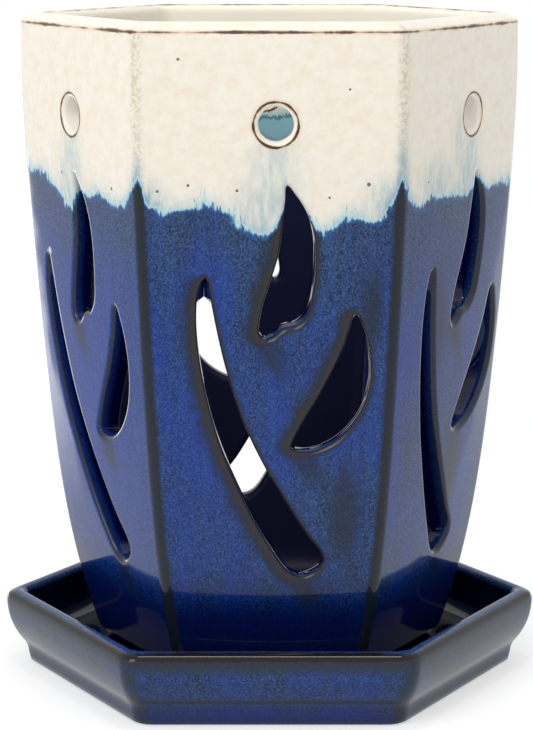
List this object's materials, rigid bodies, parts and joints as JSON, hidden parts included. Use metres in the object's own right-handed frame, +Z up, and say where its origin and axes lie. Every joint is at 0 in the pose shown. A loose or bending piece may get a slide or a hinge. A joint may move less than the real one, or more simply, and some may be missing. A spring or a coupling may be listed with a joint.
{
  "type": "orchid pot with saucer",
  "caption": "Hexagonal glazed orchid pot with leaf-shaped air slots and hanging holes near the rim, standing loose in a matching saucer.",
  "frame": {"origin": "middle of the saucer's foot, on the surface that it stands on", "axes": "+Z up along the pot's axis; a flat of the hexagon faces -Y and two corners lie on X"},
  "size_m": [0.1746, 0.153, 0.2145],
  "materials": {
    "pot_glaze": "gloss reactive glaze, cream at the rim and deep blue below",
    "saucer_glaze": "gloss deep blue glaze breaking to olive brown at the edges"
  },
  "bodies": {
    "saucer": {"saucer": "saucer_glaze"},
    "pot": {"pot": "pot_glaze"}
  },
  "joints": [
    {"name": "pot_lift", "type": "slide", "parent": "saucer", "child": "pot", "axis": [0, 0, 1], "range_m": [0, 0.06]}
  ]
}
